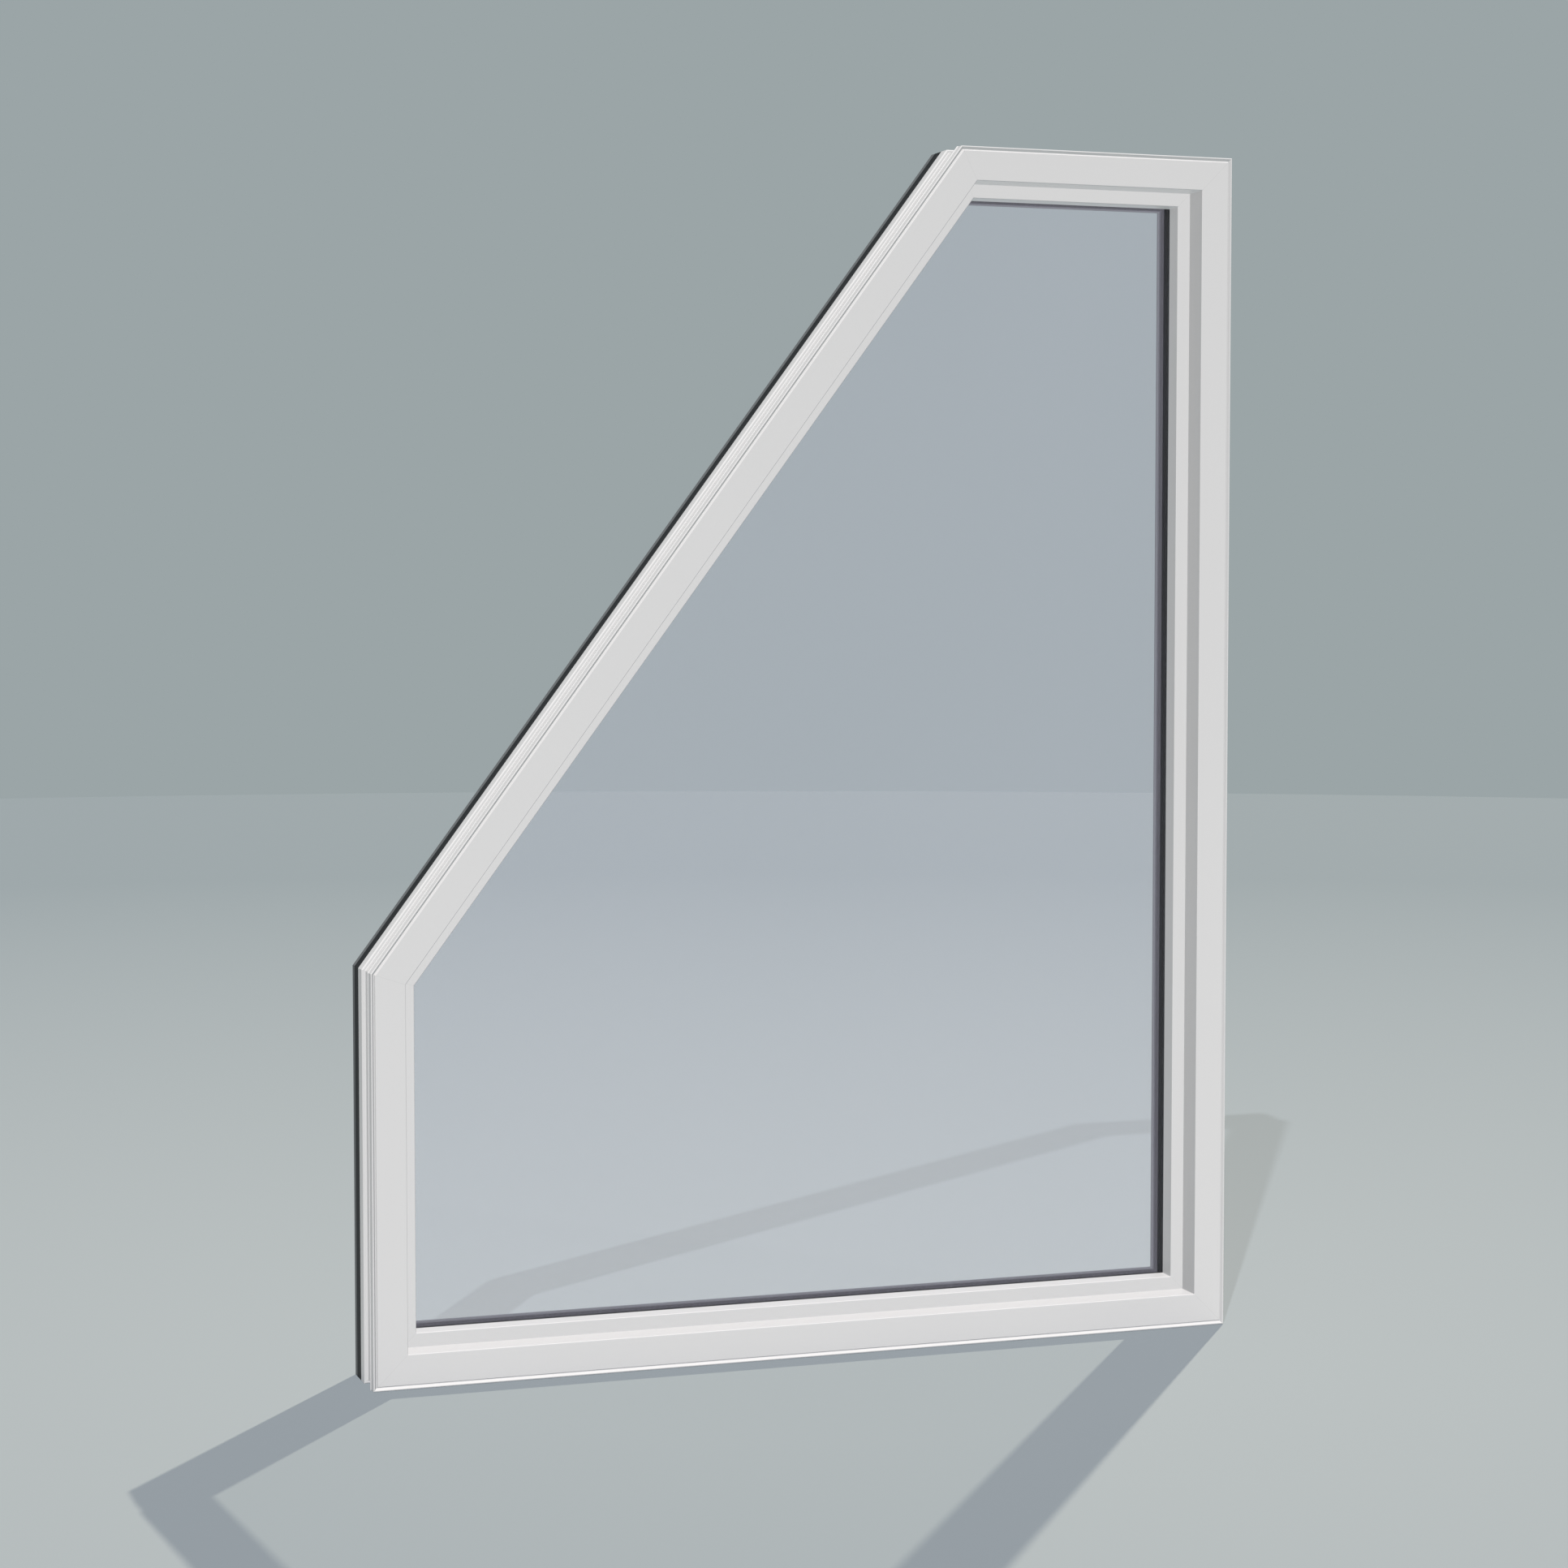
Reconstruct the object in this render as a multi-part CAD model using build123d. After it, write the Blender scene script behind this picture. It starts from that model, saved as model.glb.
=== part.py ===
from build123d import *
import math
import os

# Fixed five-sided window: a painted timber frame, an insulating core, an aluminium
# cover on the weather side, and a triple glass unit held by loose glazing beads.
# The room side faces -Y, the weather side +Y, and the window stands on Z = 0.

# Outline, seen from the room side
frame_width = 1192.0
frame_height = 1595.0
left_jamb_height = 531.0
head_length = 396.0

# Depth of each layer of the frame, from the room side outwards
timber_depth = 71.0
core_depth = 23.0
cladding_depth = 13.0

# Room-side face and the splayed reveal beside it
face_width = 45.4
reveal_splay = 0.7
face_edge_radius = 1.0

# Shadow groove between the outer lip and the face
lip_inset = 0.8
lip_width = 1.7
lip_radius = 0.9
groove_edge_radius = 0.8
groove_slope_width = 2.1
groove_floor_width = 1.0
groove_floor_radius = 0.6
groove_rise_width = 0.9
groove_face_radius = 0.9
groove_depth = 3.4

# Flange, fixing recess and shoulder along the outer side of the timber
flange_depth = 17.0
rim_depth = 2.5
rim_slant = 0.4
rim_radius = 0.6
recess_inset = 5.0
recess_radius = 1.4
shoulder_depth = 20.6
shoulder_chamfer = 1.6

# Insulating core
core_edge_radius = 0.6
tongue_inset = 14.0
tongue_width = 12.0
tongue_depth = 5.0
tongue_radius = 0.8
tongue_clearance = 0.3

# Glazing bead, and the timber left between its back and the core
bead_width = 18.1
bead_depth = 23.8
bead_taper = 0.9
bead_edge_radius = 1.0
bead_heel_chamfer = 1.5
bead_setback = 11.6

# Glass unit
pane_thickness = 4.0
cavity_depth = 8.0
glass_clearance = 5.0
spacer_height = 9.5

# Gaskets on the two sides of the glass unit
gasket_thickness = 2.6
gasket_width = 7.0
gasket_nose_radius = 1.1
inner_gasket_setback = 0.5
outer_gasket_setback = 1.7

# Setting blocks that carry the glass unit on the sill
block_length = 80.0
block_distance = 110.0

# Aluminium cover
sheet_thickness = 2.0
cover_edge_radius = 1.5
cover_flat_width = 47.0
cover_lip_inset = 66.6
cover_lip_height = 3.0
cover_return_width = 9.0
cover_return_thickness = 1.6

# Drain slots through the cover of the sill
slot_length = 30.0
slot_width = 6.0
slot_rise = 14.0
slot_spacing = 420.0
slot_count = 3

# How far the cutting prisms reach past the pieces that they trim
overrun = 5.0

# Places that follow from the sizes above
frame_depth = timber_depth + core_depth + cladding_depth
room_face = -frame_depth / 2
core_back = timber_depth + core_depth
shoulder_front = timber_depth - shoulder_depth
rebate_line = face_width + reveal_splay
bead_front_edge = rebate_line + bead_width
bead_back_edge = bead_front_edge + bead_taper
bead_back = timber_depth - bead_setback
reveal_depth = bead_back - bead_depth
glass_front = bead_back + gasket_thickness
glass_depth = 3 * pane_thickness + 2 * cavity_depth
glass_back = glass_front + glass_depth
glass_edge = rebate_line + glass_clearance
cover_lip_front = glass_back + gasket_thickness

side_names = ["sill", "right_jamb", "head", "slope", "left_jamb"]
corners = [
    Vector(-frame_width / 2, 0, 0),
    Vector(frame_width / 2, 0, 0),
    Vector(frame_width / 2, 0, frame_height),
    Vector(frame_width / 2 - head_length, 0, frame_height),
    Vector(-frame_width / 2, 0, left_jamb_height),
]
depth_direction = Vector(0, 1, 0)


# The polygon and its mitres

def corner(number):
    """The outer corner of that number, counted round the outline."""
    return corners[number % len(corners)]


def along(side):
    """Direction of a side, counter-clockwise as the room sees it."""
    return (corner(side + 1) - corner(side)).normalized()


def inward(side):
    """Direction from a side into the window, square to the side."""
    return along(side).cross(depth_direction)


def inset_corner(number, inset):
    """Where two sides meet once both have moved inwards by the inset."""
    before = inward(number - 1)
    after = inward(number)
    return corner(number) + (before + after) * (inset / (1 + before.dot(after)))


def upright_face(points, depth):
    """A flat face across the window, at a depth behind the room-side face."""
    back = depth_direction * (room_face + depth)
    outline = Polyline(*[point + back for point in points], close=True)
    return make_face(outline)


def side_territory(side):
    """The prism between the mitre planes at the two ends of a side."""
    reach = bead_back_edge + overrun
    points = [
        inset_corner(side, -overrun),
        inset_corner(side + 1, -overrun),
        inset_corner(side + 1, reach),
        inset_corner(side, reach),
    ]
    face = upright_face(points, -overrun)
    return extrude(face, amount=frame_depth + 2 * overrun, dir=depth_direction)


def mitred_bar(section, side):
    """A section (inset across, depth up) run along a side and mitred at both ends."""
    length = (corner(side + 1) - corner(side)).length
    end = corner(side + 1) + along(side) * overrun + depth_direction * room_face
    plane = Plane(origin=end, x_dir=inward(side), z_dir=-along(side))
    bar = extrude(plane * section, amount=length + 2 * overrun)
    return bar & side_territory(side)


def pane(depth):
    """One sheet of glass with its room-side face at that depth."""
    points = [inset_corner(number, glass_edge) for number in range(len(corners))]
    return extrude(upright_face(points, depth), amount=pane_thickness, dir=depth_direction)


# Sections of the long pieces: inset from the outline, depth, corner radius

def rounded_section(*stations):
    """A closed section through stations of inset, depth and corner radius."""
    points = [(inset, depth) for inset, depth, _ in stations]
    radii = [radius for _, _, radius in stations]
    return make_face(FilletPolyline(*points, radius=radii, close=True))


def timber_section():
    """Lip, shadow groove, face and reveal, then the shoulder, recess and flange."""
    crest_end = lip_inset + lip_width
    floor_start = crest_end + groove_slope_width
    floor_end = floor_start + groove_floor_width
    face_start = floor_end + groove_rise_width
    tongue_end = tongue_inset + tongue_width
    rim_front = flange_depth - rim_depth
    return rounded_section(
        (lip_inset, 0, lip_radius),
        (crest_end, 0, groove_edge_radius),
        (floor_start, groove_depth, groove_floor_radius),
        (floor_end, groove_depth, groove_floor_radius),
        (face_start, 0, groove_face_radius),
        (face_width, 0, face_edge_radius),
        (rebate_line, reveal_depth, 0),
        (rebate_line, timber_depth, 0),
        (tongue_end, timber_depth, 0),
        (tongue_end, timber_depth - tongue_depth, tongue_radius),
        (tongue_inset, timber_depth - tongue_depth, tongue_radius),
        (tongue_inset, timber_depth, 0),
        (0, timber_depth, 0),
        (0, shoulder_front + shoulder_chamfer, 0),
        (shoulder_chamfer, shoulder_front, 0),
        (recess_inset, shoulder_front, recess_radius),
        (recess_inset, flange_depth, recess_radius),
        (0, flange_depth, rim_radius),
        (0, rim_front + rim_slant, 0),
        (lip_inset, rim_front, 0),
    )


def core_section():
    """Insulating block with a tongue that locates it in the timber."""
    tongue_start = tongue_inset + tongue_clearance
    tongue_end = tongue_inset + tongue_width - tongue_clearance
    tongue_front = timber_depth - tongue_depth + tongue_clearance
    return rounded_section(
        (0, timber_depth, core_edge_radius),
        (tongue_start, timber_depth, 0),
        (tongue_start, tongue_front, tongue_radius),
        (tongue_end, tongue_front, tongue_radius),
        (tongue_end, timber_depth, 0),
        (rebate_line, timber_depth, 0),
        (rebate_line, core_back, 0),
        (0, core_back, 0),
    )


def bead_section():
    """Loose glazing bead, slightly wider at the glass than at the reveal."""
    return rounded_section(
        (rebate_line, reveal_depth, 0),
        (bead_front_edge, reveal_depth, bead_edge_radius),
        (bead_back_edge, bead_back, bead_edge_radius / 2),
        (rebate_line + bead_heel_chamfer, bead_back, 0),
        (rebate_line, bead_back - bead_heel_chamfer, 0),
    )


def inner_gasket_section():
    """Strip between the bead and the glass, with a rounded nose at the sightline."""
    nose = bead_back_edge - inner_gasket_setback
    return rounded_section(
        (nose - gasket_width, bead_back, 0),
        (nose, bead_back, gasket_nose_radius),
        (nose, glass_front, gasket_nose_radius),
        (nose - gasket_width, glass_front, 0),
    )


def outer_gasket_section():
    """Strip between the glass and the cover's return."""
    nose = cover_lip_inset - outer_gasket_setback
    return rounded_section(
        (nose - gasket_width, glass_back, 0),
        (nose, glass_back, gasket_nose_radius),
        (nose, cover_lip_front, gasket_nose_radius),
        (nose - gasket_width, cover_lip_front, 0),
    )


def spacer_section(depth):
    """Edge bar of one cavity, starting at that depth."""
    return rounded_section(
        (glass_edge, depth, 0),
        (glass_edge + spacer_height, depth, 0),
        (glass_edge + spacer_height, depth + cavity_depth, 0),
        (glass_edge, depth + cavity_depth, 0),
    )


def cladding_section():
    """Folded cover: outer leg, flat face, slope to the glass and gasket return."""
    lip_back = cover_lip_front + cover_lip_height
    slope = math.atan2(frame_depth - lip_back, cover_lip_inset - cover_flat_width)
    inner_flat_end = cover_flat_width - sheet_thickness * math.tan(slope / 2)
    return_back = cover_lip_front + cover_return_thickness
    inner_drop = sheet_thickness / math.cos(slope) - (lip_back - return_back)
    inner_lip = cover_lip_inset - inner_drop / math.tan(slope)
    return rounded_section(
        (0, core_back, 0),
        (0, frame_depth, cover_edge_radius),
        (cover_flat_width, frame_depth, cover_edge_radius),
        (cover_lip_inset, lip_back, 0),
        (cover_lip_inset, cover_lip_front, 0),
        (cover_lip_inset - cover_return_width, cover_lip_front, 0),
        (cover_lip_inset - cover_return_width, return_back, 0),
        (inner_lip, return_back, 0),
        (inner_flat_end, frame_depth - sheet_thickness, 0),
        (sheet_thickness, frame_depth - sheet_thickness, 0),
        (sheet_thickness, core_back, 0),
    )


# Pieces that belong to the sill alone

def drain_slots():
    """Cutters for the row of slots that drains the glazing rebate."""
    back_plane = Plane(
        origin=(0, room_face + frame_depth + overrun, slot_rise),
        x_dir=(1, 0, 0),
        z_dir=(0, -1, 0),
    )
    places = GridLocations(slot_spacing, 0, slot_count, 1)
    row = Sketch() + [place * SlotOverall(slot_length, slot_width) for place in places]
    return extrude(back_plane * row, amount=overrun + 2 * sheet_thickness)


def setting_blocks():
    """Two blocks as deep as the glass unit, under its lower edge."""
    reach = frame_width / 2 - rebate_line - block_distance
    height = glass_edge - rebate_line
    centre = (room_face + glass_front + glass_depth / 2, rebate_line + height / 2)
    return [
        Pos(x, *centre) * Box(block_length, glass_depth, height)
        for x in (-reach, reach)
    ]


# The window, one STEP file for each node

parts = {}
cavity_starts = [
    glass_front + pane_thickness,
    glass_front + 2 * pane_thickness + cavity_depth,
]
for side, name in enumerate(side_names):
    parts[name + "_frame"] = mitred_bar(timber_section(), side)
    parts[name + "_core"] = mitred_bar(core_section(), side)
    parts[name + "_cladding"] = mitred_bar(cladding_section(), side)
    parts[name + "_bead"] = mitred_bar(bead_section(), side)
    parts[name + "_inner_gasket"] = mitred_bar(inner_gasket_section(), side)
    parts[name + "_outer_gasket"] = mitred_bar(outer_gasket_section(), side)
    spacers = [mitred_bar(spacer_section(start), side) for start in cavity_starts]
    parts[name + "_spacers"] = Compound(children=spacers)

parts["sill_cladding"] -= drain_slots()
parts["setting_blocks"] = Compound(children=setting_blocks())
for number, name in enumerate(["room_pane", "middle_pane", "outer_pane"]):
    parts[name] = pane(glass_front + number * (pane_thickness + cavity_depth))

os.makedirs("parts", exist_ok=True)
for name, shape in parts.items():
    export_step(shape, "parts/" + name + ".step")
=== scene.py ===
"""Finishes, light and view of a fixed five-sided window.

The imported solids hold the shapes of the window. This script gives each of them its
finish, then sets up the floor, the lamps and the camera. Lengths are in metres, in the
frame of the solids: the room side faces -Y, and the window stands on Z = 0.
"""

import logging
import math
from dataclasses import dataclass
from enum import Enum
from typing import Any, Iterator, Mapping, Sequence

import bmesh
import bpy
from mathutils import Euler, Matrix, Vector

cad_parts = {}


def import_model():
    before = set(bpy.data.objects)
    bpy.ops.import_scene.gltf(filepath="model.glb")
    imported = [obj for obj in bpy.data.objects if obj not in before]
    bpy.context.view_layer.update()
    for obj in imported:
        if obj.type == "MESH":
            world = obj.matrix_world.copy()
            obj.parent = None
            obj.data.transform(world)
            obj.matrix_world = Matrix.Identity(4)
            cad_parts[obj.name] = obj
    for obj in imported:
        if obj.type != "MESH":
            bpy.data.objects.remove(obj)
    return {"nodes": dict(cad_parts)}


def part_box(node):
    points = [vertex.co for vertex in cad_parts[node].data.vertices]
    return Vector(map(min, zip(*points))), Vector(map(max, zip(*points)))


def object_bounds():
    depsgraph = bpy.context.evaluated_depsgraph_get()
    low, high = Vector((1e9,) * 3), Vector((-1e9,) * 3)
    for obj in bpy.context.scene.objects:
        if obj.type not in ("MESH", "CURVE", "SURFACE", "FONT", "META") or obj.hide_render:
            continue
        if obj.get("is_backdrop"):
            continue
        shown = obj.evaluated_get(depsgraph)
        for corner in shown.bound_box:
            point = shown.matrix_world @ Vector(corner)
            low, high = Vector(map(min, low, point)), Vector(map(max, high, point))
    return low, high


log = logging.getLogger("window")

Operand = Any
Colour = tuple[float, float, float]
DEPTH = Vector((0, 1, 0))
LAMP_DISTANCE = 5.0


class Value:
    """An output socket that takes part in Python expressions.

    Each operator adds the Math node that works it out.
    """

    def __init__(self, graph: "Graph", socket: bpy.types.NodeSocket) -> None:
        """Wraps a socket of the graph's tree."""
        self.graph = graph
        self.socket = socket

    def __add__(self, other: Operand) -> "Value":
        """Sum with a number or a value."""
        return self.graph.maths("ADD", self, other)

    def __sub__(self, other: Operand) -> "Value":
        """Difference from a number or a value."""
        return self.graph.maths("SUBTRACT", self, other)

    def __rsub__(self, other: float) -> "Value":
        """Difference of a number from this value."""
        return self.graph.maths("SUBTRACT", other, self)

    def __mul__(self, other: Operand) -> "Value":
        """Product with a number or a value."""
        return self.graph.maths("MULTIPLY", self, other)

    def __truediv__(self, other: Operand) -> "Value":
        """Quotient by a number or a value."""
        return self.graph.maths("DIVIDE", self, other)

    def __pow__(self, other: Operand) -> "Value":
        """This value to a power."""
        return self.graph.maths("POWER", self, other)

    def __lt__(self, other: Operand) -> "Value":
        """One where this value is below the other, and zero elsewhere."""
        return self.graph.maths("LESS_THAN", self, other)

    def __abs__(self) -> "Value":
        """This value without its sign."""
        return self.graph.maths("ABSOLUTE", self)

    __radd__ = __add__
    __rmul__ = __mul__

    def fraction(self) -> "Value":
        """What is left of this value over a whole number."""
        return self.graph.maths("FRACT", self)

    def least(self, other: Operand) -> "Value":
        """The lower of two values."""
        return self.graph.maths("MINIMUM", self, other)

    def most(self, other: Operand) -> "Value":
        """The higher of two values."""
        return self.graph.maths("MAXIMUM", self, other)

    def held(self) -> "Value":
        """This value, kept between zero and one."""
        return self.most(0.0).least(1.0)


class Graph:
    """The node tree of one material or of the world."""

    def __init__(self, tree: bpy.types.NodeTree) -> None:
        """Empties the tree, ready for new nodes."""
        tree.nodes.clear()
        self.tree = tree

    def node(
        self,
        kind: str,
        settings: Mapping[str, Any] | None = None,
        inputs: Mapping[str | int, Any] | None = None,
        output: str | int = 0,
    ) -> Value:
        """Adds a node.

        Args:
            kind: Type of the node, without the prefix that all shader nodes share.
            settings: Properties to set before any socket is filled.
            inputs: Numbers, colours or values for the sockets, by name or place.
            output: Name or place of the output to return.

        Returns:
            The chosen output of the new node.
        """
        node = self.tree.nodes.new("ShaderNode" + kind)
        for name, setting in (settings or {}).items():
            setattr(node, name, setting)
        for name, source in (inputs or {}).items():
            socket = node.inputs[name]
            if isinstance(source, Value):
                self.tree.links.new(source.socket, socket)
            else:
                socket.default_value = source
        outputs = node.outputs
        return Value(self, outputs[output] if len(outputs) else None)

    def maths(self, operation: str, *operands: Operand) -> Value:
        """One Math node over the operands."""
        return self.node("Math", {"operation": operation}, dict(enumerate(operands)))

    def place(self) -> Value:
        """The point being shaded, in the frame of the solids."""
        return self.node("TexCoord", output="Object")

    def measure(self, place: Value, direction: Vector) -> Value:
        """How far a place lies along a direction."""
        inputs = {0: place, 1: direction}
        return self.node("VectorMath", {"operation": "DOT_PRODUCT"}, inputs, "Value")

    def joined(self, x: Value, y: Value, z: Value) -> Value:
        """A vector from its three parts."""
        return self.node("CombineXYZ", inputs={"X": x, "Y": y, "Z": z})

    def noise(self, place: Value, size: float, detail: float = 2.0) -> Value:
        """Soft noise round one half.

        Args:
            place: Where the noise is read.
            size: Width of its largest patches, in metres.
            detail: How many times finer noise is added.

        Returns:
            The noise, between zero and one.
        """
        inputs = {"Vector": place, "Scale": 1 / size, "Detail": detail}
        return self.node("TexNoise", inputs=inputs)

    def shaded(self, colour: Colour, tone: Value) -> Value:
        """A colour made lighter or darker by a tone."""
        return self.node("VectorMath", {"operation": "SCALE"}, {"Vector": colour, "Scale": tone})

    def relief(self, height: Value) -> Value:
        """The normal of a surface with small heights on it, in metres."""
        return self.node("Bump", inputs={"Strength": 1.0, "Distance": 1.0, "Height": height})

    def blend(self, share: Operand, first: Value, second: Value) -> Value:
        """Two shaders mixed, with that share of the second."""
        return self.node("MixShader", inputs={"Fac": share, 1: first, 2: second})


@dataclass(frozen=True)
class Joint:
    """The upright plane in which two mitred pieces meet.

    Attributes:
        normal: Direction square to the plane.
        offset: Distance of the plane from the origin, along the normal.
    """

    normal: Vector
    offset: float


class Side(Enum):
    """The five sides, counter-clockwise from the bottom as the room sees them."""

    SILL = "sill"
    RIGHT_JAMB = "right_jamb"
    HEAD = "head"
    SLOPE = "slope"
    LEFT_JAMB = "left_jamb"


@dataclass(frozen=True)
class Member:
    """One side of the outline.

    Attributes:
        side: Which side it is.
        along: Direction of its grain and of its length.
        joints: The mitres at its two ends.
    """

    side: Side
    along: Vector
    joints: tuple[Joint, Joint]

    def aligned(self, graph: Graph, place: Value, stretch: float) -> Value:
        """The place turned so that X runs along the member.

        Args:
            graph: Where the nodes go.
            place: The place to turn.
            stretch: How many times longer patches become along the member.

        Returns:
            The turned place.
        """
        length = graph.measure(place, self.along) / stretch
        across = graph.measure(place, self.along.cross(DEPTH))
        return graph.joined(length, across, graph.measure(place, DEPTH))

    def seam(self, graph: Graph, place: Value, width: float) -> Value:
        """The hairline at the member's mitres.

        Args:
            graph: Where the nodes go.
            place: The place being shaded.
            width: Full width of the hairline.

        Returns:
            One in the middle of the hairline, falling to zero at its edges.
        """
        gaps = [abs(graph.measure(place, joint.normal) - joint.offset) for joint in self.joints]
        return (1 - gaps[0].least(gaps[1]) / (width / 2)).held()


class Outline:
    """The outline of the window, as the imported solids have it."""

    def __init__(self) -> None:
        """Reads the five outer corners from the boxes of the solids."""
        low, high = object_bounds()
        jamb_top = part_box("left_jamb_frame")[1].z
        head_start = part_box("head_frame")[0].x
        self.corners = [
            Vector((low.x, 0, low.z)),
            Vector((high.x, 0, low.z)),
            Vector((high.x, 0, high.z)),
            Vector((head_start, 0, high.z)),
            Vector((low.x, 0, jamb_top)),
        ]

    def along(self, number: int) -> Vector:
        """Direction of a side, by its number round the outline."""
        count = len(self.corners)
        return (self.corners[(number + 1) % count] - self.corners[number % count]).normalized()

    def joint(self, number: int) -> Joint:
        """The mitre at a corner, by its number round the outline."""
        normal = (self.along(number - 1) + self.along(number)).normalized()
        return Joint(normal, normal.dot(self.corners[number % len(self.corners)]))

    def members(self) -> Iterator[Member]:
        """The five sides in order."""
        for number, side in enumerate(Side):
            yield Member(side, self.along(number), (self.joint(number), self.joint(number + 1)))


@dataclass(frozen=True)
class Finish:
    """What a surface is finished with.

    Attributes:
        name: Name of its materials, in plain words.
    """

    name: str

    def material(self, member: Member | None = None) -> bpy.types.Material:
        """Builds the material.

        Args:
            member: The side that the finish lies on, where it has a direction.

        Returns:
            The new material.
        """
        label = f"{self.name}_{member.side.value}" if member else self.name
        material = bpy.data.materials.new(label)
        material.use_nodes = True
        graph = Graph(material.node_tree)
        graph.node("OutputMaterial", inputs={"Surface": self.shader(graph, member)})
        return material

    def shader(self, graph: Graph, member: Member | None) -> Value:
        """Builds the shader of the finish in the graph.

        Args:
            graph: Where the nodes go.
            member: The side that the finish lies on, where it has a direction.

        Returns:
            The shader.
        """
        raise NotImplementedError


@dataclass(frozen=True)
class PaintedTimber(Finish):
    """Sprayed satin paint on planed timber, whose grain still shows a little.

    Attributes:
        colour: Colour of the paint.
        gloss: Roughness of the dry paint.
        gloss_change: How much the roughness varies over the paint.
        refraction: Index of refraction of the paint.
        grain_width: Distance between the lines of the grain.
        grain_stretch: How much longer than wide the lines are.
        grain_relief: Height of the lines under the paint.
        peel_size: Width of the dimples that spraying leaves.
        peel_relief: Depth of those dimples.
        cloud_size: Width of the patches where the coat is thicker or thinner.
        cloud_contrast: How much lighter or darker they are.
        seam_width: Width of the hairline at a mitre.
        seam_depth: Depth of the hairline.
        seam_shade: How much darker it is.
    """

    name: str = "painted_timber"
    colour: Colour = (0.836, 0.815, 0.81)
    gloss: float = 0.36
    gloss_change: float = 0.05
    refraction: float = 1.5
    grain_width: float = 0.0016
    grain_stretch: float = 34.0
    grain_relief: float = 0.000022
    peel_size: float = 0.0009
    peel_relief: float = 0.000006
    cloud_size: float = 0.18
    cloud_contrast: float = 0.012
    seam_width: float = 0.00035
    seam_depth: float = 0.00004
    seam_shade: float = 0.2

    def shader(self, graph: Graph, member: Member | None) -> Value:
        """White paint with faint grain along the member and hairlines at its mitres.

        Args:
            graph: Where the nodes go.
            member: The side that the timber runs along.

        Returns:
            The shader.
        """
        place = graph.place()
        grain = graph.noise(member.aligned(graph, place, self.grain_stretch), self.grain_width, 3.0)
        peel = graph.noise(place, self.peel_size, 1.0)
        cloud = graph.noise(place, self.cloud_size)
        seam = member.seam(graph, place, self.seam_width)
        tone = 1 + (cloud - 0.5) * self.cloud_contrast - seam * self.seam_shade
        height = grain * self.grain_relief + peel * self.peel_relief - seam * self.seam_depth
        return graph.node("BsdfPrincipled", inputs={
            "Base Color": graph.shaded(self.colour, tone),
            "Roughness": self.gloss + (cloud + peel - 1) * self.gloss_change,
            "IOR": self.refraction,
            "Normal": graph.relief(height),
        })


@dataclass(frozen=True)
class CoreBoard(Finish):
    """Dense black insulating board, sawn and planed.

    Attributes:
        colour: Colour of the board.
        pore_size: Distance between its pores.
        pore_depth: Depth of the pores.
        pore_width: How far a pore reaches, as a share of their distance.
        fleck_size: Width of its lighter flecks.
        fleck_contrast: How much lighter they are.
        planing_pitch: Distance between the marks of the planer.
        planing_relief: Height of those marks.
        seam_width: Width of the joint at a mitre.
        seam_shade: How much darker the joint is.
        gloss: Roughness of the board.
        gloss_change: How much the roughness varies over the board.
        refraction: Index of refraction of the board.
    """

    name: str = "core_board"
    colour: Colour = (0.016, 0.0165, 0.018)
    pore_size: float = 0.0011
    pore_depth: float = 0.00006
    pore_width: float = 0.35
    fleck_size: float = 0.0022
    fleck_contrast: float = 0.5
    planing_pitch: float = 0.0024
    planing_relief: float = 0.000015
    seam_width: float = 0.0005
    seam_shade: float = 0.6
    gloss: float = 0.6
    gloss_change: float = 0.2
    refraction: float = 1.25

    def shader(self, graph: Graph, member: Member | None) -> Value:
        """Matt black with pores, flecks and planing marks across the member.

        Args:
            graph: Where the nodes go.
            member: The side that the board runs along.

        Returns:
            The shader.
        """
        place = graph.place()
        pores = graph.node("TexVoronoi", inputs={"Vector": place, "Scale": 1 / self.pore_size})
        flecks = graph.noise(place, self.fleck_size, 3.0)
        seam = member.seam(graph, place, self.seam_width)
        wave = (graph.measure(place, member.along) / self.planing_pitch).fraction()
        height = (
            pores.least(self.pore_width) * self.pore_depth
            + abs(wave - 0.5) * self.planing_relief
            - seam * self.pore_depth
        )
        tone = 1 + (flecks - 0.5) * self.fleck_contrast - seam * self.seam_shade
        return graph.node("BsdfPrincipled", inputs={
            "Base Color": graph.shaded(self.colour, tone),
            "Roughness": self.gloss + (flecks - 0.5) * self.gloss_change,
            "IOR": self.refraction,
            "Normal": graph.relief(height),
        })


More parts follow.
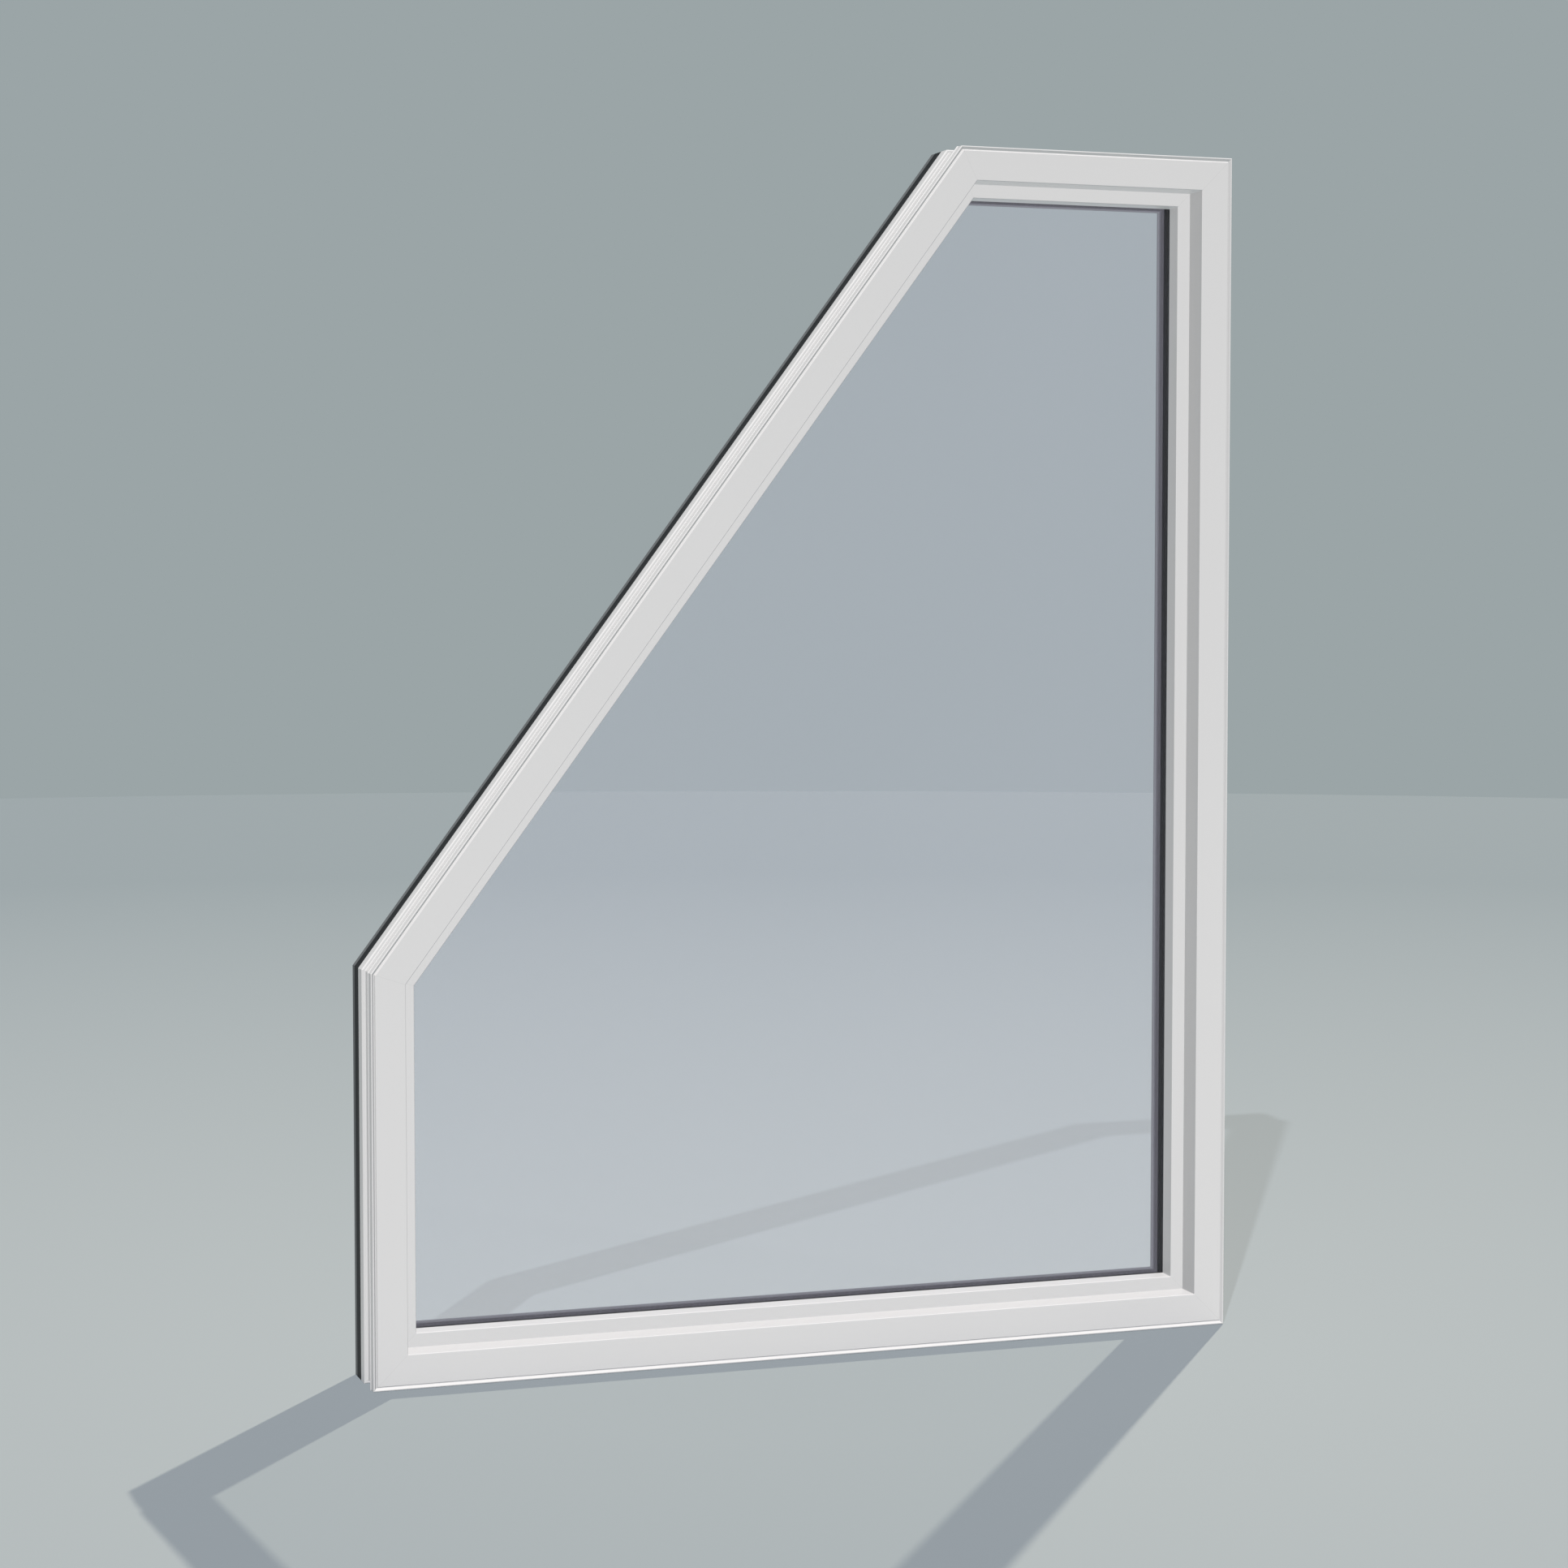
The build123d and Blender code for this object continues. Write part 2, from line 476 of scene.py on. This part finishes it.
@dataclass(frozen=True)
class PowderCoat(Finish):
    """Fine-textured powder coat on folded aluminium.

    Attributes:
        colour: Colour of the coat.
        texture_size: Width of the grains of its texture.
        texture_relief: Height of the grains.
        texture_contrast: How much lighter or darker the grains are.
        wave_size: Width of the slow waves that melting leaves.
        wave_relief: Height of the waves.
        seam_width: Width of the joint at a mitre.
        seam_depth: Depth of the joint.
        seam_shade: How much darker the joint is.
        gloss: Roughness of the coat.
        gloss_change: How much the roughness varies over the coat.
        refraction: Index of refraction of the coat.
    """

    name: str = "powder_coat"
    colour: Colour = (0.150, 0.155, 0.160)
    texture_size: float = 0.0005
    texture_relief: float = 0.000014
    texture_contrast: float = 0.16
    wave_size: float = 0.006
    wave_relief: float = 0.000012
    seam_width: float = 0.0006
    seam_depth: float = 0.0002
    seam_shade: float = 0.7
    gloss: float = 0.6
    gloss_change: float = 0.12
    refraction: float = 1.4

    def shader(self, graph: Graph, member: Member | None) -> Value:
        """Grey coat with a fine texture and a tight joint at each mitre.

        Args:
            graph: Where the nodes go.
            member: The side that the cover runs along.

        Returns:
            The shader.
        """
        place = graph.place()
        texture = graph.noise(place, self.texture_size, 2.0)
        wave = graph.noise(place, self.wave_size, 1.0)
        seam = member.seam(graph, place, self.seam_width)
        height = texture * self.texture_relief + wave * self.wave_relief - seam * self.seam_depth
        tone = 1 + (texture - 0.5) * self.texture_contrast - seam * self.seam_shade
        return graph.node("BsdfPrincipled", inputs={
            "Base Color": graph.shaded(self.colour, tone),
            "Roughness": self.gloss + (wave - 0.5) * self.gloss_change,
            "IOR": self.refraction,
            "Normal": graph.relief(height),
        })


@dataclass(frozen=True)
class SealingRubber(Finish):
    """Extruded black sealing rubber.

    Attributes:
        colour: Colour of the rubber.
        line_width: Distance between the lines of the die.
        line_stretch: How much longer than wide the lines are.
        line_relief: Height of the lines.
        bloom_size: Width of the dull patches.
        bloom_contrast: How much lighter or darker they are.
        gloss: Roughness of the rubber.
        gloss_change: How much the roughness varies over the rubber.
        refraction: Index of refraction of the rubber.
    """

    name: str = "sealing_rubber"
    colour: Colour = (0.026, 0.026, 0.028)
    line_width: float = 0.0005
    line_stretch: float = 200.0
    line_relief: float = 0.00002
    bloom_size: float = 0.03
    bloom_contrast: float = 0.3
    gloss: float = 0.55
    gloss_change: float = 0.2
    refraction: float = 1.5

    def shader(self, graph: Graph, member: Member | None) -> Value:
        """Black rubber with faint lines along the member.

        Args:
            graph: Where the nodes go.
            member: The side that the rubber runs along.

        Returns:
            The shader.
        """
        place = graph.place()
        lines = graph.noise(member.aligned(graph, place, self.line_stretch), self.line_width, 1.0)
        bloom = graph.noise(place, self.bloom_size, 3.0)
        return graph.node("BsdfPrincipled", inputs={
            "Base Color": graph.shaded(self.colour, 1 + (bloom - 0.5) * self.bloom_contrast),
            "Roughness": self.gloss + (bloom - 0.5) * self.gloss_change,
            "IOR": self.refraction,
            "Normal": graph.relief(lines * self.line_relief),
        })


@dataclass(frozen=True)
class SpacerBar(Finish):
    """Black edge bar of the glass unit, with a row of breathing holes in each bar.

    Attributes:
        colour: Colour of the bar.
        bar_middles: Where the middle of each bar lies in the window's depth.
        hole_pitch: Distance between the holes.
        hole_radius: Radius of a hole.
        hole_depth: Depth of a hole as it shows.
        hole_shade: How much darker a hole is painted, for the shade inside it.
        hole_gloss: How much rougher a hole is.
        rib_pitch: Distance between the fine ribs along the bar.
        rib_relief: Height of the ribs.
        gloss: Roughness of the bar.
        refraction: Index of refraction of the bar.
    """

    name: str = "spacer_bar"
    colour: Colour = (0.030, 0.030, 0.032)
    bar_middles: tuple[float, float] = (0.0, 0.0)
    hole_pitch: float = 0.004
    hole_radius: float = 0.0005
    hole_depth: float = 0.0002
    hole_shade: float = 0.7
    hole_gloss: float = 0.2
    rib_pitch: float = 0.001
    rib_relief: float = 0.00003
    gloss: float = 0.6
    refraction: float = 1.45

    def shader(self, graph: Graph, member: Member | None) -> Value:
        """Matt black bars with ribs along them and a row of holes in each.

        Args:
            graph: Where the nodes go.
            member: The side that the bars run along.

        Returns:
            The shader.
        """
        place = graph.place()
        depth = graph.measure(place, DEPTH)
        step = (graph.measure(place, member.along) / self.hole_pitch).fraction() - 0.5
        first, second = [abs(depth - middle) for middle in self.bar_middles]
        aside = first.least(second)
        distance = ((step * self.hole_pitch) ** 2.0 + aside ** 2.0) ** 0.5
        hole = distance < self.hole_radius
        rib = abs((depth / self.rib_pitch).fraction() - 0.5)
        height = rib * self.rib_relief - hole * self.hole_depth
        return graph.node("BsdfPrincipled", inputs={
            # Holes are painted darker: painted shade inside each hole.
            "Base Color": graph.shaded(self.colour, 1 - hole * self.hole_shade),
            "Roughness": self.gloss + hole * self.hole_gloss,
            "IOR": self.refraction,
            "Normal": graph.relief(height),
        })


@dataclass(frozen=True)
class FloatGlass(Finish):
    """Clear float glass, with or without a painted reflection: a pale lit sheen laid over the pane.

    Attributes:
        passed: Colour of the light that the glass lets through.
        mirrored: Colour of what it mirrors.
        mirror: How much of what is straight in front it mirrors.
        mirror_rise: Power with which it mirrors more towards a glancing view.
        mirror_gloss: Roughness of the mirrored picture.
        painted_reflection: Colour of the painted reflection, a pale lit sheen that stands in for
            the studio mirrored in the pane.
        painted_reflection_share: How much of the painted reflection lies over what is behind.
        painted_reflection_size: Width of the patches where the painted reflection is stronger or
            weaker.
        painted_reflection_change: How much stronger or weaker it is there.
        painted_reflection_contrast: How much lighter or darker it is there.
        painted_reflection_gloss: Roughness of the painted reflection.
    """

    name: str = "float_glass"
    passed: Colour = (0.995, 1.0, 1.0)
    mirrored: Colour = (0.86, 0.84, 1.0)
    mirror: float = 0.008
    mirror_rise: float = 5.0
    mirror_gloss: float = 0.02
    painted_reflection: Colour = (0.87, 0.82, 0.98)
    painted_reflection_share: float = 0.0
    painted_reflection_size: float = 0.6
    painted_reflection_change: float = 0.12
    painted_reflection_contrast: float = 0.06
    painted_reflection_gloss: float = 0.3

    def shader(self, graph: Graph, member: Member | None) -> Value:
        """Glass that mirrors by its angle, with a faint uneven painted reflection over it.

        Args:
            graph: Where the nodes go.
            member: Not used, because a pane has no side of its own.

        Returns:
            The shader.
        """
        place = graph.place()
        patches = graph.noise(place, self.painted_reflection_size)
        slant = graph.node("LayerWeight", inputs={"Blend": 0.5}, output="Facing")
        gloss = (self.mirror + (1 - self.mirror) * slant ** self.mirror_rise).held()
        clear = graph.node("BsdfTransparent", inputs={"Color": (*self.passed, 1)})
        shine = graph.node("BsdfAnisotropic", inputs={
            "Color": (*self.mirrored, 1),
            "Roughness": self.mirror_gloss,
        })
        # Painted reflection: a pale lit layer that stands in for the studio mirrored in the pane.
        painted_reflection = graph.node("BsdfPrincipled", inputs={
            "Base Color": graph.shaded(self.painted_reflection, 1 + (patches - 0.5) * self.painted_reflection_contrast),
            "Roughness": self.painted_reflection_gloss,
        })
        share = (1 + (patches - 0.5) * self.painted_reflection_change) * self.painted_reflection_share
        return graph.blend(share, graph.blend(gloss, clear, shine), painted_reflection)


@dataclass(frozen=True)
class MouldedBlock(Finish):
    """Moulded plastic of the setting blocks.

    Attributes:
        colour: Colour of the plastic.
        grain_size: Width of the grains of the mould's surface.
        grain_relief: Height of the grains.
        grain_contrast: How much lighter or darker they are.
        gloss: Roughness of the plastic.
    """

    name: str = "moulded_block"
    colour: Colour = (0.1, 0.2, 0.32)
    grain_size: float = 0.0008
    grain_relief: float = 0.00001
    grain_contrast: float = 0.1
    gloss: float = 0.5

    def shader(self, graph: Graph, member: Member | None) -> Value:
        """Plain moulded plastic with a fine grain.

        Args:
            graph: Where the nodes go.
            member: Not used, because the blocks have no direction.

        Returns:
            The shader.
        """
        grain = graph.noise(graph.place(), self.grain_size, 1.0)
        return graph.node("BsdfPrincipled", inputs={
            "Base Color": graph.shaded(self.colour, 1 + (grain - 0.5) * self.grain_contrast),
            "Roughness": self.gloss + (grain - 0.5) * self.grain_contrast,
            "Normal": graph.relief(grain * self.grain_relief),
        })


@dataclass
class SubAssembly:
    """Pieces of the window that are made and fitted together.

    Attributes:
        nodes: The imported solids, by name.
        members: The sides of the outline.
    """

    nodes: dict[str, bpy.types.Object]
    members: Sequence[Member]

    def lay(self, name: str, material: bpy.types.Material) -> None:
        """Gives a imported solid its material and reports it.

        Diffuse rays pass by the solid, so no facet brightens another and each keeps one
        even tone.

        Args:
            name: Name of the solid.
            material: The material that it gets.
        """
        piece = self.nodes[name]
        piece.visible_diffuse = False
        piece.data.materials.clear()
        piece.data.materials.append(material)
        log.info("%s: %s", name, material.name)

    def lay_round(self, suffix: str, finish: Finish) -> None:
        """Lays a finish on the five pieces of one kind, each along its own side."""
        for member in self.members:
            self.lay(f"{member.side.value}_{suffix}", finish.material(member))


@dataclass
class Frame(SubAssembly):
    """The mitred frame: painted timber, insulating core and weather cover."""

    timber: Finish = PaintedTimber()
    core: Finish = CoreBoard()
    cover: Finish = PowderCoat()

    def dress(self) -> None:
        """Finishes the three layers of the frame."""
        self.lay_round("frame", self.timber)
        self.lay_round("core", self.core)
        self.lay_round("cladding", self.cover)


@dataclass
class Glazing(SubAssembly):
    """The glass unit with the beads, gaskets and blocks that hold it."""

    bead: Finish = PaintedTimber("painted_bead", grain_width=0.0012)
    rubber: Finish = SealingRubber()
    clear_glass: Finish = FloatGlass("clear_glass")
    # The outer pane gets the painted reflection, a pale lit sheen over the glass.
    painted_reflection_glass: Finish = FloatGlass("painted_reflection_glass", painted_reflection_share=0.106)
    block: Finish = MouldedBlock()

    def spacer(self) -> SpacerBar:
        """The finish of the edge bars, with its holes in the middle of each cavity.

        Returns:
            The finish.
        """
        low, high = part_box("sill_spacers")
        pane_low, pane_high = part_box("middle_pane")
        middles = ((low.y + pane_low.y) / 2, (high.y + pane_high.y) / 2)
        return SpacerBar(bar_middles=middles)

    def dress(self) -> None:
        """Finishes the beads, gaskets, spacers, panes and blocks."""
        self.lay_round("bead", self.bead)
        self.lay_round("inner_gasket", self.rubber)
        self.lay_round("outer_gasket", self.rubber)
        self.lay_round("spacers", self.spacer())
        clear = self.clear_glass.material()
        self.lay("room_pane", clear)
        self.lay("middle_pane", clear)
        self.lay("outer_pane", self.painted_reflection_glass.material())
        self.lay("setting_blocks", self.block.material())


@dataclass(frozen=True)
class StudioFloor(Finish):
    """Pale matt floor with a painted pool of light, darker towards its rim, that fades into the
    backdrop.

    Attributes:
        light_pool: Colour of the floor round the window, painted lighter as a pool of light.
        falloff: Colour of the floor at its rim, painted darker where the light falls off.
        fade_start: Distance from the window at which the fade begins.
        fade_end: Distance at which it ends.
        fade_curve: Power of the fade, below one where it starts fast.
        gloss: Roughness of the floor.
        shine: How much it mirrors, where one half is what most surfaces do.
    """

    name: str = "studio_floor"
    light_pool: Colour = (0.2377, 0.2656, 0.2882)
    far: Colour = (0.1563, 0.1873, 0.2113)
    fade_start: float = 0.5
    fade_end: float = 7.5
    fade_curve: float = 0.85
    gloss: float = 0.9
    shine: float = 0.1

    def shader(self, graph: Graph, member: Member | None) -> Value:
        """Matt floor, painted darker with distance where the pool of light falls off.

        Args:
            graph: Where the nodes go.
            member: Not used, because the floor has no direction.

        Returns:
            The shader.
        """
        place = graph.place()
        distance = graph.node("VectorMath", {"operation": "LENGTH"}, {0: place}, "Value")
        # Painted pool of light: the floor colour darkens with distance from the window.
        far = ((distance - self.fade_start) / (self.fade_end - self.fade_start)).held()
        colour = graph.node(
            "Mix",
            {"data_type": "RGBA"},
            {0: far ** self.fade_curve, 6: (*self.light_pool, 1), 7: (*self.far, 1)},
            output=2,
        )
        return graph.node("BsdfPrincipled", inputs={
            "Base Color": colour,
            "Roughness": self.gloss,
            "Specular IOR Level": self.shine,
        })


class Reach(Enum):
    """What a lamp lights."""

    EVERYTHING = "everything"
    FLOOR = "floor"


@dataclass(frozen=True)
class Lamp:
    """A distant lamp of the studio.

    Attributes:
        name: Name of the lamp.
        direction: Where it stands as seen from the window.
        strength: Its power on a surface that faces it, in watts per square metre.
        spread: Angle that it fills, in degrees.
        colour: Colour of its light.
        reach: What it lights.
        shadows: Whether it casts shadows.
        passes_glass: Whether the glass lets all of its light through.
    """

    name: str
    direction: Vector
    strength: float
    spread: float
    colour: Colour = (1.0, 1.0, 1.0)
    reach: Reach = Reach.EVERYTHING
    shadows: bool = True
    passes_glass: bool = False

    def group(self, purpose: str, members: Sequence[bpy.types.Object]) -> bpy.types.Collection:
        """A collection of what the lamp lights or of what stops its light.

        Args:
            purpose: What the collection is for, in plain words.
            members: The objects in it.

        Returns:
            The new collection.
        """
        collection = bpy.data.collections.new(f"{purpose}_{self.name}")
        for member in members:
            collection.objects.link(member)
        return collection

    def build(
        self, target: Vector, floor: bpy.types.Object, solid: Sequence[bpy.types.Object]
    ) -> None:
        """Adds the lamp.

        Args:
            target: The point that it is aimed at.
            floor: The floor, for a lamp that lights nothing else.
            solid: The pieces of the window that no light passes through.
        """
        light = bpy.data.lights.new(self.name, "SUN")
        light.energy = self.strength
        light.color = self.colour
        light.angle = math.radians(self.spread)
        light.use_shadow = self.shadows
        lamp = bpy.data.objects.new(self.name, light)
        bpy.context.scene.collection.objects.link(lamp)
        away = self.direction.normalized()
        lamp.location = target + away * LAMP_DISTANCE
        lamp.rotation_euler = away.to_track_quat("Z", "Y").to_euler()
        if self.reach is Reach.FLOOR:
            lamp.light_linking.receiver_collection = self.group("lit_by", [floor])
        if self.passes_glass:
            lamp.light_linking.blocker_collection = self.group("shading", solid)
        log.info("lamp %s", self.name)


@dataclass
class Studio:
    """The plain studio round the window.

    Attributes:
        lamps: The lamps. The main lamp and the bounce give the window its even tones and
            cast no shadow. The key and the fill light only the floor, where the window's
            two shadows fall.
        backdrop: Colour of the backdrop.
        ambient: Colour of the soft light from all round.
        floor_finish: Finish of the floor.
        floor_radius: Radius of the round floor.
        floor_steps: Number of straight edges of its rim.
    """

    lamps: Sequence[Lamp] = (
        Lamp("main", Vector((-0.20, -0.575, 0.90)), 3.41, 8.0, shadows=False),
        Lamp("bounce", Vector((0.0, 0.0, -1.0)), 0.22, 8.0, shadows=False),
        Lamp("key", Vector((0.672, 0.88, 1.0)), 3.36, 0.6, (1.0, 0.90, 0.71), Reach.FLOOR),
        Lamp(
            "fill", Vector((-0.5756, -0.9677, 1.0)), 1.43, 0.6,
            reach=Reach.FLOOR, passes_glass=True,
        ),
    )
    backdrop: Colour = (0.328, 0.376, 0.386)
    ambient: Colour = (0.10, 0.10, 0.10)
    floor_finish: Finish = StudioFloor()
    floor_radius: float = 12.5
    floor_steps: int = 128

    def build_floor(self, centre: Vector) -> bpy.types.Object:
        """Lays the round floor under the window.

        Args:
            centre: The point of the floor below the window.

        Returns:
            The floor.
        """
        shape = bmesh.new()
        bmesh.ops.create_circle(
            shape, cap_ends=True, segments=self.floor_steps, radius=self.floor_radius
        )
        mesh = bpy.data.meshes.new("floor")
        shape.to_mesh(mesh)
        shape.free()
        floor = bpy.data.objects.new("floor", mesh)
        floor.location = centre
        mesh.materials.append(self.floor_finish.material())
        bpy.context.scene.collection.objects.link(floor)
        floor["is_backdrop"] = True
        log.info("floor, %.1f m in radius", self.floor_radius)
        return floor

    def build_world(self) -> None:
        """Sets the soft light, and the backdrop that the camera and mirrors see."""
        world = bpy.data.worlds.new("studio")
        world.use_nodes = True
        bpy.context.scene.world = world
        graph = Graph(world.node_tree)
        seen = [
            graph.node("LightPath", output=ray)
            for ray in ("Is Camera Ray", "Is Glossy Ray", "Is Transmission Ray")
        ]
        share = seen[0].most(seen[1]).most(seen[2])
        backdrop = graph.node("Background", inputs={"Color": (*self.backdrop, 1)})
        ambient = graph.node("Background", inputs={"Color": (*self.ambient, 1)})
        graph.node("OutputWorld", inputs={"Surface": graph.blend(share, ambient, backdrop)})

    def build(self, low: Vector, high: Vector, solid: Sequence[bpy.types.Object]) -> None:
        """Sets up the studio round a window.

        Args:
            low: Lowest corner of the window's box.
            high: Highest corner of the window's box.
            solid: The pieces of the window that no light passes through.
        """
        middle = (low + high) / 2
        floor = self.build_floor(Vector((middle.x, middle.y, low.z)))
        self.build_world()
        for lamp in self.lamps:
            lamp.build(middle, floor, solid)


@dataclass
class Viewpoint:
    """Where the camera stands and how it looks.

    Attributes:
        place: Position of the camera.
        heading: Angle of its view from +Y towards +X, in degrees.
        tilt: Angle of its view above the horizon, in degrees.
        focal_length: Focal length in millimetres.
        sensor_width: Width of the sensor in millimetres.
    """

    place: tuple[float, float, float] = (-1.4636, -4.1109, 1.0061)
    heading: float = 19.247
    tilt: float = -3.290
    focal_length: float = 75.86
    sensor_width: float = 36.0

    def build(self) -> None:
        """Adds the camera and makes it the scene's own."""
        camera = bpy.data.cameras.new("camera")
        camera.sensor_width = self.sensor_width
        camera.lens = self.focal_length
        mount = bpy.data.objects.new("camera", camera)
        mount.location = self.place
        pitch = math.radians(90 + self.tilt)
        mount.rotation_euler = Euler((pitch, 0, -math.radians(self.heading)))
        bpy.context.scene.collection.objects.link(mount)
        bpy.context.scene.camera = mount
        log.info("camera")


def main() -> None:
    """Dresses the window and sets up the studio and the camera."""
    logging.basicConfig(level=logging.INFO, format="%(message)s")
    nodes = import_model()["nodes"]
    solid_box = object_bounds()
    members = list(Outline().members())
    Frame(nodes, members).dress()
    Glazing(nodes, members).dress()
    solid = [piece for name, piece in nodes.items() if not name.endswith("_pane")]
    Studio().build(*solid_box, solid)
    Viewpoint().build()
    bpy.context.scene.view_settings.view_transform = "Standard"


if __name__ == "__main__":
    main()
